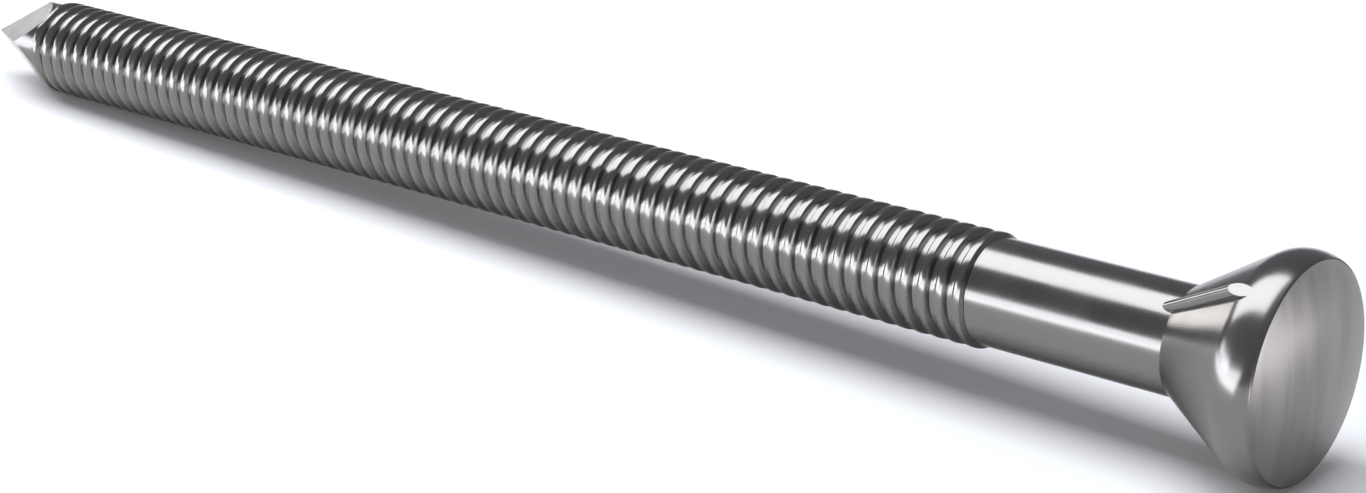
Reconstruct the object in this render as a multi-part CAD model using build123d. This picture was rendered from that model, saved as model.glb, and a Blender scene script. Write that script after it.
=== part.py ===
from build123d import *
import os
from math import asin, atan2, cos, degrees, hypot, radians, sin, sqrt, tan

# Ring-shank facade nail with a raised countersunk head, lying as it comes to rest.
# Millimetres, +Z up. The head is towards +X and the point towards -X.
# The nail is first turned about its own axis, with x = 0 where the head's cone leaves the shank.

LENGTH = 50.0  # crown of the head to the tip of the point
SHANK_D = 2.8  # plain wire under the head
PLAIN_LENGTH = 5.6  # plain wire between the head and the rings

HEAD_D = 5.75
CONE_HALF_ANGLE = 32.3
RIM_ROUND = 1.11  # radius of the rolled edge
FACE_INSET = 0.12  # from the rim in to the edge of the domed face
DOME_RISE = 0.34

RING_PITCH = 0.5355
RING_RISE = 0.115  # crests above the plain wire
RING_SINK = 0.04  # groove floors below the plain wire
ROOT_FLAT = 0.17
POINT_FLANK = 0.10  # length along the axis of each ring's flank towards the point
HEAD_FLANK = 0.085  # and of its flank towards the head
CREST_RISE = 0.010  # how far a crest bulges between its flanks
ROOT_DIP = 0.006  # how far a groove's floor dips between its flanks

POINT_LAND = 3.2  # least length without rings at the point
POINT_HALF_ANGLE = 20.9
POINT_TURN = 30.9  # turn of the point's first facet from the top, towards -Y

RIB_R = 0.175  # half-round ribs under the head
RIB_COUNT = 2
RIB_TURN = 33.95  # turn of the first rib from the top, towards -Y
RIB_SPREAD = 1.5  # how much more than the cone a rib leans outwards
RIB_INSET = 0.035  # the ribs are cut off this far inside the rim

SHANK_R = SHANK_D / 2
HEAD_R = HEAD_D / 2
CONE = radians(CONE_HALF_ANGLE)
ROUND_R = HEAD_R - RIM_ROUND  # circle of the rolled edge's centre
CONE_END_R = ROUND_R + RIM_ROUND * cos(CONE)
CONE_END_X = (CONE_END_R - SHANK_R) / tan(CONE)
ROUND_X = CONE_END_X + RIM_ROUND * sin(CONE)
FACE_R = HEAD_R - FACE_INSET
FACE_X = ROUND_X + sqrt(RIM_ROUND**2 - (FACE_R - ROUND_R) ** 2)
CROWN_X = FACE_X + DOME_RISE
TIP_X = CROWN_X - LENGTH
RINGS_END_X = -PLAIN_LENGTH
RING_COUNT = int((RINGS_END_X - TIP_X - POINT_LAND) / RING_PITCH)
CREST_WIDTH = RING_PITCH - ROOT_FLAT - POINT_FLANK - HEAD_FLANK
CREST_R = SHANK_R + RING_RISE
SHOULDER_R = CREST_R - CREST_RISE
ROOT_R = SHANK_R - RING_SINK


def arc_middle(start, end, centre):
    """Point of the short arc about centre that lies halfway between start and end."""
    radius = hypot(start[0] - centre[0], start[1] - centre[1])
    dx = (start[0] + end[0]) / 2 - centre[0]
    dy = (start[1] + end[1]) / 2 - centre[1]
    scale = radius / hypot(dx, dy)
    return centre[0] + dx * scale, centre[1] + dy * scale


def ring_edges(head_foot_x, foot_r):
    """One ring's section, from its foot on the head side to the next ring's foot."""
    back = head_foot_x - HEAD_FLANK
    front = back - CREST_WIDTH
    root = front - POINT_FLANK
    end = head_foot_x - RING_PITCH
    return [
        Line((head_foot_x, foot_r), (back, SHOULDER_R)),
        ThreePointArc((back, SHOULDER_R), ((back + front) / 2, CREST_R), (front, SHOULDER_R)),
        Line((front, SHOULDER_R), (root, ROOT_R)),
        ThreePointArc((root, ROOT_R), ((root + end) / 2, ROOT_R - ROOT_DIP), (end, ROOT_R)),
    ]


def head_edges():
    """The head's section, from the crown on the axis to the neck."""
    crown, face = (CROWN_X, 0.0), (FACE_X, FACE_R)
    cone_end, neck = (CONE_END_X, CONE_END_R), (0.0, SHANK_R)
    dome_r = (face[1] ** 2 + DOME_RISE**2) / (2 * DOME_RISE)
    return [
        ThreePointArc(crown, arc_middle(crown, face, (CROWN_X - dome_r, 0.0)), face),
        ThreePointArc(face, arc_middle(face, cone_end, (ROUND_X, ROUND_R)), cone_end),
        Line(cone_end, neck),
    ]


def turned_nail():
    """Head, plain shank and rings as one body of revolution, square at the point end."""
    edges = head_edges()
    edges.append(Line((0.0, SHANK_R), (RINGS_END_X, SHANK_R)))
    for ring in range(RING_COUNT):
        foot_r = ROOT_R if ring else SHANK_R
        edges += ring_edges(RINGS_END_X - ring * RING_PITCH, foot_r)
    land_x = RINGS_END_X - RING_COUNT * RING_PITCH
    edges.append(Line((land_x, ROOT_R), (TIP_X, ROOT_R)))
    edges.append(Line((TIP_X, ROOT_R), (TIP_X, 0.0)))
    edges.append(Line((TIP_X, 0.0), (CROWN_X, 0.0)))
    return revolve(make_face(Wire(edges)), Axis.X, 360)


def point_cutter():
    """Block outside one facet of the point, with the facet's plane through the tip."""
    reach = 4 * SHANK_D
    block = Pos(0, 0, reach / 2) * Box(2 * reach, 2 * reach, reach)
    return Pos(TIP_X, 0, 0) * Rot(0, -POINT_HALF_ANGLE, 0) * block


def rib():
    """Round bar that leaves the neck a little steeper than the cone, cut off inside the rim."""
    lean = radians(CONE_HALF_ANGLE + RIB_SPREAD)
    bar = Rot(0, 90, 0) * Cylinder(RIB_R, HEAD_R / sin(CONE), align=(Align.CENTER, Align.CENTER, Align.MIN))
    start = Pos(-RIB_R / tan(lean), 0, SHANK_R - RIB_R)
    bar = start * Rot(0, -degrees(lean), 0) * bar
    trim = Rot(0, 90, 0) * Cylinder(HEAD_R - RIB_INSET, LENGTH)
    return bar & trim


def nail():
    body = turned_nail()
    for side in range(4):
        body = body - Rot(POINT_TURN + side * 90, 0, 0) * point_cutter()
    for side in range(RIB_COUNT):
        body = body + Rot(RIB_TURN + side * 360 / RIB_COUNT, 0, 0) * rib()
    return body


def resting_tilt():
    """Angle between the axis and the floor when the rim and the ring next to the point touch it."""
    crest_x = RINGS_END_X - (RING_COUNT - 2) * RING_PITCH - HEAD_FLANK - CREST_WIDTH / 2
    crest_r = ((CREST_WIDTH / 2) ** 2 + CREST_RISE**2) / (2 * CREST_RISE)
    dx, dr = ROUND_X - crest_x, ROUND_R - (CREST_R - crest_r)
    return degrees(atan2(dr, dx) + asin((RIM_ROUND - crest_r) / hypot(dx, dr)))


def lying(body):
    body = Rot(0, -resting_tilt(), 0) * body
    box = body.bounding_box()
    return Pos(-box.center().X, -box.center().Y, -box.min.Z) * body


os.makedirs("parts", exist_ok=True)
export_step(lying(nail()), "parts/nail.step")
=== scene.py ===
from math import asin, atan2, cos, pi, radians, sin, sqrt, tan

import bmesh
import bpy
from mathutils import Matrix, Vector


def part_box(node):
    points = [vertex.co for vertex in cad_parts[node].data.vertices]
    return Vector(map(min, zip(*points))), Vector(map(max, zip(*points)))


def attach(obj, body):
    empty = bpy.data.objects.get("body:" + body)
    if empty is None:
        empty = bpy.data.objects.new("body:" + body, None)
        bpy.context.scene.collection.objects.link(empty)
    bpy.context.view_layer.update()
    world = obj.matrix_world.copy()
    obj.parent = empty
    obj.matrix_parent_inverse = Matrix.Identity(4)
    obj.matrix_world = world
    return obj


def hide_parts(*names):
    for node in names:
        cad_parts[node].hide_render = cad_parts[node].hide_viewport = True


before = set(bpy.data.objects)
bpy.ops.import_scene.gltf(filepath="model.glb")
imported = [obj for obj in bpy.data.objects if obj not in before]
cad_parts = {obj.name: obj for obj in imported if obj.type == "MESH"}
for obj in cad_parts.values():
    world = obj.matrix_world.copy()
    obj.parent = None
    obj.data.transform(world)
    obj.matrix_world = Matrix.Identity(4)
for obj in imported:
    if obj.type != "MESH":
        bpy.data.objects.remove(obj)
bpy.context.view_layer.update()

# ---- Camera ----
# A long lens looking down a little on the nail, from in front of its head.
# The head is near the camera and the point is far from it.
CAMERA_PLACE = Vector((51.900, -54.629, 29.438)) / 1000
CAMERA_AHEAD = Vector((-0.601806, 0.709608, -0.366452))
FILM_WIDTH, FOCAL_LENGTH = 36.0, 73.51
NEAREST, FARTHEST = 0.002, 20.0

camera_data = bpy.data.cameras.new("camera")
camera_data.sensor_width = FILM_WIDTH
camera_data.lens = FOCAL_LENGTH
camera_data.clip_start = NEAREST
camera_data.clip_end = FARTHEST
camera = bpy.data.objects.new("camera", camera_data)
bpy.context.scene.collection.objects.link(camera)
camera.location = CAMERA_PLACE
camera.rotation_euler = CAMERA_AHEAD.to_track_quat("-Z", "Y").to_euler()
bpy.context.scene.camera = camera
bpy.context.scene.view_settings.view_transform = "Standard"

# ---- Steel ----
# Bright stainless wire: drawn, then cold-formed in polished dies.
# Faint draw lines run along the wire and the struck face is a little duller, with soft
# upright streaks. Rolling oil leaves a slight warm mottle.
WIRE_DARK, WIRE_LIGHT = (0.196, 0.189, 0.174, 1.0), (0.232, 0.224, 0.208, 1.0)
FACE_DARK, FACE_LIGHT = (0.165, 0.154, 0.143, 1.0), (0.215, 0.205, 0.196, 1.0)
WIRE_SMOOTH, WIRE_ROUGH = 0.15, 0.23
FACE_SMOOTH, FACE_ROUGH = 0.27, 0.37
FACE_BEGINS, FACE_WHOLE = 0.02455, 0.02465
DRAW_LINES_PER_METRE = (90.0, 2600.0, 2600.0)
STREAKS_PER_METRE = (1.0, 1900.0, 170.0)
MOTTLE_PER_METRE = 700.0
LINE_STRENGTH, LINE_HEIGHT = 0.12, 0.00002

steel = bpy.data.materials.new("steel")
steel.use_nodes = True
nodes, links = steel.node_tree.nodes, steel.node_tree.links
nodes.clear()
coordinates = nodes.new("ShaderNodeTexCoord")


def grain(scale, detail, stretch=None):
    """Noise over the object's own coordinates, stretched where a direction is given."""
    noise = nodes.new("ShaderNodeTexNoise")
    noise.inputs["Scale"].default_value = scale
    noise.inputs["Detail"].default_value = detail
    if stretch:
        mapping = nodes.new("ShaderNodeMapping")
        mapping.inputs["Scale"].default_value = stretch
        links.new(coordinates.outputs["Object"], mapping.inputs["Vector"])
        links.new(mapping.outputs["Vector"], noise.inputs["Vector"])
    else:
        links.new(coordinates.outputs["Object"], noise.inputs["Vector"])
    return noise.outputs["Fac"]


def ranged(value, low, high, to_low, to_high):
    """Map a value from one range to another, held at the ends."""
    node = nodes.new("ShaderNodeMapRange")
    for name, number in zip(
        ("From Min", "From Max", "To Min", "To Max"), (low, high, to_low, to_high)
    ):
        node.inputs[name].default_value = number
    links.new(value, node.inputs["Value"])
    return node.outputs["Result"]


def blend(kind, factor, one, two):
    """Mix two sockets or values by a factor."""
    node = nodes.new("ShaderNodeMix")
    node.data_type = kind
    links.new(factor, node.inputs["Factor"])
    slots = [i for i in node.inputs if i.enabled and i.name in "AB"]
    for slot, value in zip(slots, (one, two)):
        if isinstance(value, bpy.types.NodeSocket):
            links.new(value, slot)
        else:
            slot.default_value = value
    return next(o for o in node.outputs if o.enabled)


along = nodes.new("ShaderNodeSeparateXYZ")
links.new(coordinates.outputs["Object"], along.inputs["Vector"])
on_face = ranged(along.outputs["X"], FACE_BEGINS, FACE_WHOLE, 0.0, 1.0)
draw_lines = grain(1.0, 4.0, DRAW_LINES_PER_METRE)
streaks = grain(1.0, 3.0, STREAKS_PER_METRE)
mottle = grain(MOTTLE_PER_METRE, 5.0)
lines = blend("FLOAT", on_face, draw_lines, streaks)

plain = blend("RGBA", mottle, WIRE_DARK, WIRE_LIGHT)
streaked = blend("RGBA", ranged(streaks, 0.35, 0.65, 0.0, 1.0), FACE_DARK, FACE_LIGHT)
colour = blend("RGBA", on_face, plain, streaked)
roughness = blend(
    "FLOAT",
    on_face,
    ranged(mottle, 0.3, 0.7, WIRE_SMOOTH, WIRE_ROUGH),
    ranged(streaks, 0.3, 0.7, FACE_SMOOTH, FACE_ROUGH),
)
bump = nodes.new("ShaderNodeBump")
bump.inputs["Strength"].default_value = LINE_STRENGTH
bump.inputs["Distance"].default_value = LINE_HEIGHT
links.new(lines, bump.inputs["Height"])

surface = nodes.new("ShaderNodeBsdfPrincipled")
surface.inputs["Metallic"].default_value = 1.0
links.new(colour, surface.inputs["Base Color"])
links.new(roughness, surface.inputs["Roughness"])
links.new(bump.outputs["Normal"], surface.inputs["Normal"])
output = nodes.new("ShaderNodeOutputMaterial")
links.new(surface.outputs["BSDF"], output.inputs["Surface"])

# ---- Head, plain shank and point ----
# The wire's two ends: a raised countersunk head struck in a die, the plain wire under it,
# and the short land that the four pinched facets of the point are cut from.
SHANK_R, HEAD_R, FACE_R = 1.4, 2.875, 2.755
PLAIN_LENGTH, LENGTH = 5.6, 50.0
CONE, RIM_ROUND, DOME_RISE = radians(32.3), 1.11, 0.34
ROOT_R, RING_PITCH, RING_COUNT = 1.36, 0.5355, 70
POINT_HALF_ANGLE, POINT_TURN = radians(20.9), radians(30.9)
CREASE_WIDTH, CREASE_DEPTH, CREASE_FLOOR = 0.035, 0.03, 0.4
AROUND, DOME_STEPS, LIP_STEPS = 128, 16, 20
ON_AXIS = 1e-6

round_r = HEAD_R - RIM_ROUND
cone_end = round_r + RIM_ROUND * cos(CONE)
round_x = (cone_end - SHANK_R) / tan(CONE) + RIM_ROUND * sin(CONE)
face_x = round_x + sqrt(RIM_ROUND**2 - (FACE_R - round_r) ** 2)
crown_x = face_x + DOME_RISE
tip_x = crown_x - LENGTH
rings_end_x = -PLAIN_LENGTH


def arc(centre, radius, start, end, steps):
    """Points on a circle of the section, at angles from the radial direction towards the head."""
    turns = [start + (end - start) * i / steps for i in range(steps + 1)]
    return [(centre[0] + radius * sin(a), centre[1] + radius * cos(a)) for a in turns]


def lathe(name, section):
    """Surface of revolution about X of a section in millimetres, as a mesh in metres."""
    shape = bmesh.new()
    loops = []
    for x, r in section:
        turns = [2 * pi * i / AROUND for i in range(AROUND)] if r > ON_AXIS else [0.0]
        ring = [(x / 1000, r * sin(a) / 1000, r * cos(a) / 1000) for a in turns]
        loops.append([shape.verts.new(p) for p in ring])
    for one, two in zip(loops, loops[1:]):
        for i in range(AROUND):
            j = (i + 1) % AROUND
            corners = [one[i % len(one)], one[j % len(one)], two[j % len(two)], two[i % len(two)]]
            shape.faces.new(list(dict.fromkeys(corners)))
    mesh = bpy.data.meshes.new(name)
    shape.to_mesh(mesh)
    shape.free()
    return mesh


dome_r = (FACE_R**2 + DOME_RISE**2) / (2 * DOME_RISE)
dome_edge = asin(FACE_R / dome_r)
face_turn = atan2(face_x - round_x, FACE_R - round_r)
head_section = [
    (crown_x - dome_r + dome_r * cos(a), dome_r * sin(a))
    for a in [dome_edge * i / DOME_STEPS for i in range(DOME_STEPS)]
]
crease_turn = face_turn - CREASE_WIDTH / RIM_ROUND
lip = arc((round_x, round_r), RIM_ROUND, crease_turn, -CONE, LIP_STEPS)
head_section += [
    (face_x + CREASE_WIDTH * sin(dome_edge), FACE_R - CREASE_WIDTH),
    (face_x - CREASE_DEPTH, FACE_R - CREASE_WIDTH * CREASE_FLOOR),
    (lip[0][0] - CREASE_DEPTH / 2, lip[0][1] - CREASE_WIDTH * CREASE_FLOOR),
]
head_section += lip
head_section += [(0.0, SHANK_R), (rings_end_x / 2, SHANK_R), (rings_end_x, SHANK_R)]
head_mesh = lathe("head", head_section)

land_x = rings_end_x - RING_COUNT * RING_PITCH
land_mesh = lathe("land", [(land_x, ROOT_R), (tip_x, ROOT_R), (tip_x, 0.0)])

# ---- Rings ----
# Separate closed rings rolled into the wire, so that timber fibres lock behind them.
# Each has a nearly flat crest, two steep flanks and a narrow floor before the next, with the
# fine fold that the roller leaves at the foot of the flank towards the point.
RING_R, CREST_RISE, ROOT_DIP = 1.515, 0.010, 0.006
ROOT_FLAT, POINT_FLANK, HEAD_FLANK = 0.17, 0.10, 0.085
FOLD_DEPTH, FOLD_WIDTH = 0.017, 0.032
CREST_STEPS, RING_WELD = 3, 1e-7

crest_half = (RING_PITCH - ROOT_FLAT - POINT_FLANK - HEAD_FLANK) / 2
crest_r = (crest_half**2 + CREST_RISE**2) / (2 * CREST_RISE)
crest_turn = asin(crest_half / crest_r)
crest_x = rings_end_x - HEAD_FLANK - crest_half
root_x = rings_end_x - RING_PITCH + ROOT_FLAT
ring_section = [(rings_end_x, ROOT_R)]
ring_section += arc((crest_x, RING_R - crest_r), crest_r, crest_turn, -crest_turn, CREST_STEPS)
ring_section += [
    (root_x, ROOT_R - FOLD_DEPTH),
    (root_x - FOLD_WIDTH, ROOT_R),
    (root_x - ROOT_FLAT / 2, ROOT_R - ROOT_DIP),
    (root_x - ROOT_FLAT, ROOT_R),
]
ring_mesh = lathe("one_ring", ring_section)


def group(name, sockets):
    """A Geometry Nodes group with a geometry input, the named inputs and a geometry output."""
    tree = bpy.data.node_groups.new(name, "GeometryNodeTree")
    tree.interface.new_socket("Geometry", in_out="INPUT", socket_type="NodeSocketGeometry")
    for label, kind in sockets:
        tree.interface.new_socket(label, in_out="INPUT", socket_type=kind)
    tree.interface.new_socket("Geometry", in_out="OUTPUT", socket_type="NodeSocketGeometry")
    return tree, tree.nodes.new("NodeGroupInput"), tree.nodes.new("NodeGroupOutput")


def step(tree, kind, **inputs):
    """A node of the tree, with each named input joined to a socket or set to a value."""
    node = tree.nodes.new(kind)
    for name, value in inputs.items():
        if isinstance(value, bpy.types.NodeSocket):
            tree.links.new(value, node.inputs[name])
        else:
            node.inputs[name].default_value = value
    return node


def repeated(tree, start, points, **turned):
    """The incoming geometry made real on each of the points, turned where that is given."""
    copies = step(
        tree,
        "GeometryNodeInstanceOnPoints",
        Points=points,
        Instance=start.outputs["Geometry"],
        **turned,
    )
    real = step(tree, "GeometryNodeRealizeInstances", Geometry=copies.outputs["Instances"])
    return real.outputs["Geometry"]


def painted(tree, start, end, geometry):
    """End the tree in the steel that its input names."""
    paint = step(
        tree, "GeometryNodeSetMaterial", Geometry=geometry, Material=start.outputs["Steel"]
    )
    tree.links.new(paint.outputs["Geometry"], end.inputs["Geometry"])


def grown(mesh, tree, values):
    """The plain mesh that the group makes of a mesh, with the group's inputs set."""
    seed = bpy.data.objects.new(mesh.name, mesh)
    bpy.context.scene.collection.objects.link(seed)
    modifier = seed.modifiers.new("grow", "NODES")
    modifier.node_group = tree
    for item in tree.interface.items_tree:
        if item.in_out == "INPUT" and item.name in values:
            modifier[item.identifier] = values[item.name]
    depsgraph = bpy.context.evaluated_depsgraph_get()
    done = bpy.data.meshes.new_from_object(seed.evaluated_get(depsgraph))
    bpy.data.objects.remove(seed)
    return done


tree, start, end = group(
    "ring_train",
    [("Rings", "NodeSocketInt"), ("Pitch", "NodeSocketFloat"), ("Steel", "NodeSocketMaterial")],
)
offset = step(tree, "ShaderNodeCombineXYZ", X=start.outputs["Pitch"])
row = step(
    tree, "GeometryNodeMeshLine", Count=start.outputs["Rings"], Offset=offset.outputs["Vector"]
)
train = repeated(tree, start, row.outputs["Mesh"])
weld = step(tree, "GeometryNodeMergeByDistance", Geometry=train, Distance=RING_WELD)
painted(tree, start, end, weld.outputs["Geometry"])
rings_mesh = grown(
    ring_mesh, tree, {"Rings": RING_COUNT, "Pitch": -RING_PITCH / 1000, "Steel": steel}
)

# ---- Ribs ----
# Two half-round ribs left under the head by grooves in the heading die.
# They stop the nail from turning, and end flush at the rim.
RIB_R, RIB_TRIM_R, RIB_LEAN = 0.175, 2.84, radians(33.8)
RIB_TURN, RIB_COUNT = radians(33.95), 2
RIB_LENGTH, RIB_SIDES = 5.4, 96

bar = bmesh.new()
bmesh.ops.create_cone(
    bar,
    cap_ends=True,
    segments=RIB_SIDES,
    radius1=RIB_R / 1000,
    radius2=RIB_R / 1000,
    depth=RIB_LENGTH / 1000,
)
bmesh.ops.translate(bar, verts=bar.verts, vec=(0, 0, RIB_LENGTH / 2000))
bmesh.ops.rotate(bar, verts=bar.verts, matrix=Matrix.Rotation(pi / 2 - RIB_LEAN, 3, "Y"))
bmesh.ops.translate(
    bar, verts=bar.verts, vec=(-RIB_R / tan(RIB_LEAN) / 1000, 0, (SHANK_R - RIB_R) / 1000)
)
bmesh.ops.bisect_plane(
    bar,
    geom=bar.verts[:] + bar.edges[:] + bar.faces[:],
    plane_co=(0, 0, RIB_TRIM_R / 1000),
    plane_no=(0, 0, 1),
    clear_outer=True,
)
bmesh.ops.holes_fill(bar, edges=[e for e in bar.edges if e.is_boundary], sides=0)
bmesh.ops.rotate(bar, verts=bar.verts, matrix=Matrix.Rotation(RIB_TURN, 3, "X"))
rib_mesh = bpy.data.meshes.new("one_rib")
bar.to_mesh(rib_mesh)
bar.free()

tree, start, end = group(
    "rib_circle", [("Ribs", "NodeSocketInt"), ("Steel", "NodeSocketMaterial")]
)
points = step(tree, "GeometryNodePoints", Count=start.outputs["Ribs"], Radius=0.0)
number = step(tree, "GeometryNodeInputIndex")
share = tree.nodes.new("ShaderNodeMath")
share.operation = "DIVIDE"
share.inputs[0].default_value = 2 * pi
tree.links.new(start.outputs["Ribs"], share.inputs[1])
turn = tree.nodes.new("ShaderNodeMath")
turn.operation = "MULTIPLY"
tree.links.new(number.outputs["Index"], turn.inputs[0])
tree.links.new(share.outputs["Value"], turn.inputs[1])
about = step(tree, "ShaderNodeCombineXYZ", X=turn.outputs["Value"])
circle = repeated(tree, start, points.outputs["Points"], Rotation=about.outputs["Vector"])
painted(tree, start, end, circle)
ribs_mesh = grown(rib_mesh, tree, {"Ribs": RIB_COUNT, "Steel": steel})

# ---- The whole nail ----
# One piece of wire: the head, rings and land are welded into one skin, the point's four facets
# are cut through it, the ribs are added as their own closed shells, and it is laid down on its
# rim and its last ring.
RESTING_TILT, SHARP_ANGLE = radians(1.7375), radians(24)
FACETS, SKIN_WELD = 4, 1e-6

skin = bmesh.new()
for mesh in (head_mesh, rings_mesh, land_mesh):
    skin.from_mesh(mesh)
bmesh.ops.remove_doubles(skin, verts=skin.verts, dist=SKIN_WELD)
for side in range(FACETS):
    turn = Matrix.Rotation(POINT_TURN + side * 2 * pi / FACETS, 3, "X")
    outward = turn @ Vector((-sin(POINT_HALF_ANGLE), 0, cos(POINT_HALF_ANGLE)))
    bmesh.ops.bisect_plane(
        skin,
        geom=skin.verts[:] + skin.edges[:] + skin.faces[:],
        plane_co=(tip_x / 1000, 0, 0),
        plane_no=outward,
        clear_outer=True,
    )
    bmesh.ops.holes_fill(skin, edges=[e for e in skin.edges if e.is_boundary], sides=0)
bmesh.ops.recalc_face_normals(skin, faces=skin.faces)
for face in skin.faces:
    face.material_index = 0
    face.smooth = True
skin.from_mesh(ribs_mesh)
nail_mesh = bpy.data.meshes.new("ring_nail")
skin.to_mesh(nail_mesh)
skin.free()
nail_mesh.materials.clear()
nail_mesh.materials.append(steel)
nail_mesh.shade_smooth()
nail_mesh.set_sharp_from_angle(angle=SHARP_ANGLE)
nail_mesh.transform(Matrix.Rotation(-RESTING_TILT, 4, "Y"))
low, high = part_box("nail")
mine_low = Vector([min(v.co[i] for v in nail_mesh.vertices) for i in range(3)])
mine_high = Vector([max(v.co[i] for v in nail_mesh.vertices) for i in range(3)])
shift = (Vector(low) + Vector(high) - mine_low - mine_high) / 2
shift.z = low[2] - mine_low.z
nail_mesh.transform(Matrix.Translation(shift))
nail = bpy.data.objects.new("ring_nail", nail_mesh)
bpy.context.scene.collection.objects.link(nail)
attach(nail, "root")
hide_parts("nail")

# ---- Floor ----
# A plain white table top, wide enough to fill the view from any side.
# It is matt, and keeps the nail's soft shadow.
TABLE_HALF = 4.0
TABLE_WHITE = (0.90, 0.89, 0.87, 1.0)

corners = [(x * TABLE_HALF, y * TABLE_HALF, 0) for x, y in ((-1, -1), (1, -1), (1, 1), (-1, 1))]
floor_mesh = bpy.data.meshes.new("floor")
floor_mesh.from_pydata(corners, [], [(0, 1, 2, 3)])
white = bpy.data.materials.new("white_table")
white.use_nodes = True
matt = white.node_tree.nodes["Principled BSDF"]
matt.inputs["Base Color"].default_value = TABLE_WHITE
matt.inputs["Roughness"].default_value = 0.9
matt.inputs["Specular IOR Level"].default_value = 0.0
floor_mesh.materials.append(white)
floor = bpy.data.objects.new("floor", floor_mesh)
bpy.context.scene.collection.objects.link(floor)

# ---- Studio light ----
# A long softbox overhead that runs away past the point, and a broad one low on the near side.
# Narrow upright panels stand to the right, past the point and far to the left, and a small
# one lies on the table before the head. The room around them is dim and grey.
ROOM_GREY = (0.26, 0.26, 0.29, 1.0)

world = bpy.data.worlds.new("studio")
bpy.context.scene.world = world
world.use_nodes = True
room = world.node_tree.nodes["Background"]
room.inputs["Color"].default_value = ROOM_GREY
room.inputs["Strength"].default_value = 1.0


def softbox(name, centre, facing, upward, width, height, glow, tint):
    """A rectangular area light that shines along facing, with the same glow all over."""
    lamp = bpy.data.lights.new(name, "AREA")
    lamp.shape = "RECTANGLE"
    lamp.size, lamp.size_y = width, height
    lamp.energy = glow * width * height * pi
    lamp.color = tint
    box = bpy.data.objects.new(name, lamp)
    back = -Vector(facing).normalized()
    side = Vector(upward).cross(back).normalized()
    top = back.cross(side)
    turn = Matrix((side, top, back)).transposed().to_4x4()
    box.matrix_world = Matrix.Translation(centre) @ turn
    box.visible_camera = False
    bpy.context.scene.collection.objects.link(box)


softbox(
    "overhead", centre=(-0.50, 0.0, 0.50), facing=(0, 0, -1), upward=(0, 1, 0),
    width=1.14, height=0.41, glow=4.1, tint=(0.96, 1.0, 1.08),
)
softbox(
    "low_front", centre=(-0.30, -0.2135, 0.0423), facing=(0, 0.2163, 0.9763),
    upward=(0, -1, 0.2215), width=0.64, height=0.3912, glow=4.2, tint=(0.96, 0.98, 1.10),
)
softbox(
    "right", centre=(0.35, 0.06, 0.03), facing=(-1, 0, 0), upward=(0, 0, 1),
    width=0.36, height=0.06, glow=4.0, tint=(1.0, 1.0, 1.02),
)
softbox(
    "past_point", centre=(-0.48, 0.125, 0.083), facing=(1, -0.25, -0.15), upward=(0, 0, 1),
    width=0.15, height=0.085, glow=3.6, tint=(1.0, 1.0, 1.04),
)
softbox(
    "low_side", centre=(0.055, -0.008, 0.0003), facing=(0, 0, 1), upward=(0, 1, 0),
    width=0.042, height=0.046, glow=3.6, tint=(1, 1, 1.04),
)
softbox(
    "low_left", centre=(-0.41, -0.287, 0.092), facing=(0.82, 0.57, 0), upward=(0, 0, 1),
    width=0.36, height=0.07, glow=4.0, tint=(0.96, 0.98, 1.10),
)

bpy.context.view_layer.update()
